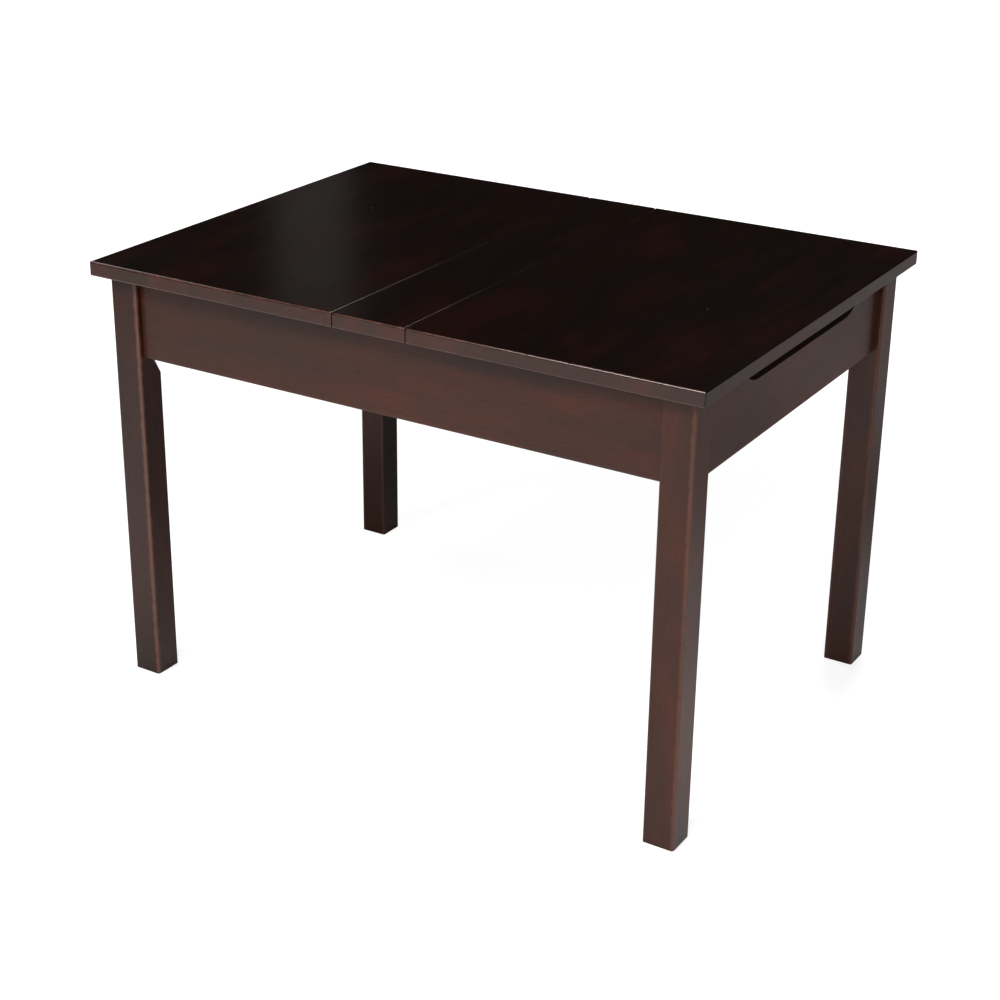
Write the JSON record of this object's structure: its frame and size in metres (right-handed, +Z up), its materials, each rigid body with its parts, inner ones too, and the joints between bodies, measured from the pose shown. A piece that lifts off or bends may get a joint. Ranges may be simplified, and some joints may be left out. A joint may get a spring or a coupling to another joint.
{
  "type": "lift-top storage table",
  "caption": "Low rectangular children's table in dark stained wood; lids fold up from a fixed centre strip over storage bins in the apron frame.",
  "frame": {"origin": "on the floor under the middle of the tabletop", "axes": "+X along the length to the right, +Y to the back, +Z up"},
  "size_m": [0.82, 0.59, 0.5555],
  "materials": {
    "stained_wood": "satin dark espresso stain under clear lacquer",
    "inner_wood": "thin espresso stain, matt",
    "beech": "bare, fluted by rolling",
    "zinc_steel": "zinc plated, satin",
    "hinge_metal": "dark bronze plated, satin"
  },
  "bodies": {
    "frame": {"centre_strip": "stained_wood", "leg_front_left": "stained_wood", "leg_front_right": "stained_wood", "leg_back_left": "stained_wood", "leg_back_right": "stained_wood", "apron_front": "stained_wood", "apron_back": "stained_wood", "apron_left": "stained_wood", "apron_right": "stained_wood", "divider_left": "inner_wood", "divider_right": "inner_wood", "bin_floor_left": "inner_wood", "bin_floor_right": "inner_wood", "floor_cleats_left": "inner_wood", "floor_cleats_right": "inner_wood", "strip_cleats": "inner_wood", "corner_brace_front_left": "inner_wood", "corner_brace_front_right": "inner_wood", "corner_brace_back_left": "inner_wood", "corner_brace_back_right": "inner_wood", "dowels": "beech", "hanger_bolts": "zinc_steel", "bolt_washers": "zinc_steel", "bolt_nuts": "zinc_steel", "brace_screws": "zinc_steel", "cleat_screws": "zinc_steel", "floor_screws": "zinc_steel", "strip_screws": "zinc_steel", "stay_plate_left": "zinc_steel", "stay_plate_right": "zinc_steel", "stay_plate_screws": "zinc_steel", "hinge_cups_strip": "hinge_metal", "hinge_pins_strip": "hinge_metal", "hinge_screws_strip": "hinge_metal"},
    "lid_left": {"lid_left": "stained_wood", "hinge_cups_left": "hinge_metal", "hinge_pins_left": "hinge_metal", "hinge_screws_left": "hinge_metal", "stay_bracket_left": "zinc_steel", "stay_bracket_screws_left": "zinc_steel"},
    "hinge_outer_links_left": {"hinge_outer_links_left": "hinge_metal"},
    "hinge_inner_links_left": {"hinge_inner_links_left": "hinge_metal"},
    "stay_lower_bar_left": {"stay_lower_bar_left": "zinc_steel"},
    "stay_upper_bar_left": {"stay_upper_bar_left": "zinc_steel"},
    "lid_right": {"lid_right": "stained_wood", "hinge_cups_right": "hinge_metal", "hinge_pins_right": "hinge_metal", "hinge_screws_right": "hinge_metal", "stay_bracket_right": "zinc_steel", "stay_bracket_screws_right": "zinc_steel"},
    "hinge_outer_links_right": {"hinge_outer_links_right": "hinge_metal"},
    "hinge_inner_links_right": {"hinge_inner_links_right": "hinge_metal"},
    "stay_lower_bar_right": {"stay_lower_bar_right": "zinc_steel"},
    "stay_upper_bar_right": {"stay_upper_bar_right": "zinc_steel"}
  },
  "joints": [
    {"name": "lid_right_fold", "type": "hinge", "parent": "frame", "child": "lid_right", "pos_m": [0.04925, 0, 0.5555], "axis": [0, -1, 0], "range_deg": [0, 95]},
    {"name": "outer_links_right_turn", "type": "hinge", "parent": "frame", "child": "hinge_outer_links_right", "pos_m": [0.04625, 0, 0.5485], "axis": [0, -1, 0], "range_deg": [0, 95]},
    {"name": "inner_links_right_turn", "type": "hinge", "parent": "lid_right", "child": "hinge_inner_links_right", "pos_m": [0.05225, 0, 0.5485], "axis": [0, -1, 0], "range_deg": [-95, 0]},
    {"name": "stay_lower_right_turn", "type": "hinge", "parent": "frame", "child": "stay_lower_bar_right", "pos_m": [0.05316, 0.2482, 0.49964], "axis": [0, -1, 0], "range_deg": [0, 95]},
    {"name": "stay_upper_right_turn", "type": "hinge", "parent": "lid_right", "child": "stay_upper_bar_right", "pos_m": [0.09622, 0.2457, 0.525], "axis": [0, -1, 0], "range_deg": [-95, 0]},
    {"name": "lid_left_fold", "type": "hinge", "parent": "frame", "child": "lid_left", "pos_m": [-0.04925, 0, 0.5555], "axis": [0, 1, 0], "range_deg": [0, 95]},
    {"name": "outer_links_left_turn", "type": "hinge", "parent": "frame", "child": "hinge_outer_links_left", "pos_m": [-0.04625, 0, 0.5485], "axis": [0, 1, 0], "range_deg": [0, 95]},
    {"name": "inner_links_left_turn", "type": "hinge", "parent": "lid_left", "child": "hinge_inner_links_left", "pos_m": [-0.05225, 0, 0.5485], "axis": [0, 1, 0], "range_deg": [-95, 0]},
    {"name": "stay_lower_left_turn", "type": "hinge", "parent": "frame", "child": "stay_lower_bar_left", "pos_m": [-0.05316, 0.2482, 0.49964], "axis": [0, 1, 0], "range_deg": [0, 95]},
    {"name": "stay_upper_left_turn", "type": "hinge", "parent": "lid_left", "child": "stay_upper_bar_left", "pos_m": [-0.09622, 0.2457, 0.525], "axis": [0, 1, 0], "range_deg": [-95, 0]}
  ],
  "couplings": [
    {"joint": "outer_links_right_turn", "follows": "lid_right_fold", "ratio": 1},
    {"joint": "inner_links_right_turn", "follows": "lid_right_fold", "ratio": -1},
    {"joint": "stay_lower_right_turn", "follows": "lid_right_fold", "ratio": 1},
    {"joint": "stay_upper_right_turn", "follows": "lid_right_fold", "ratio": -1},
    {"joint": "outer_links_left_turn", "follows": "lid_left_fold", "ratio": 1},
    {"joint": "inner_links_left_turn", "follows": "lid_left_fold", "ratio": -1},
    {"joint": "stay_lower_left_turn", "follows": "lid_left_fold", "ratio": 1},
    {"joint": "stay_upper_left_turn", "follows": "lid_left_fold", "ratio": -1}
  ]
}
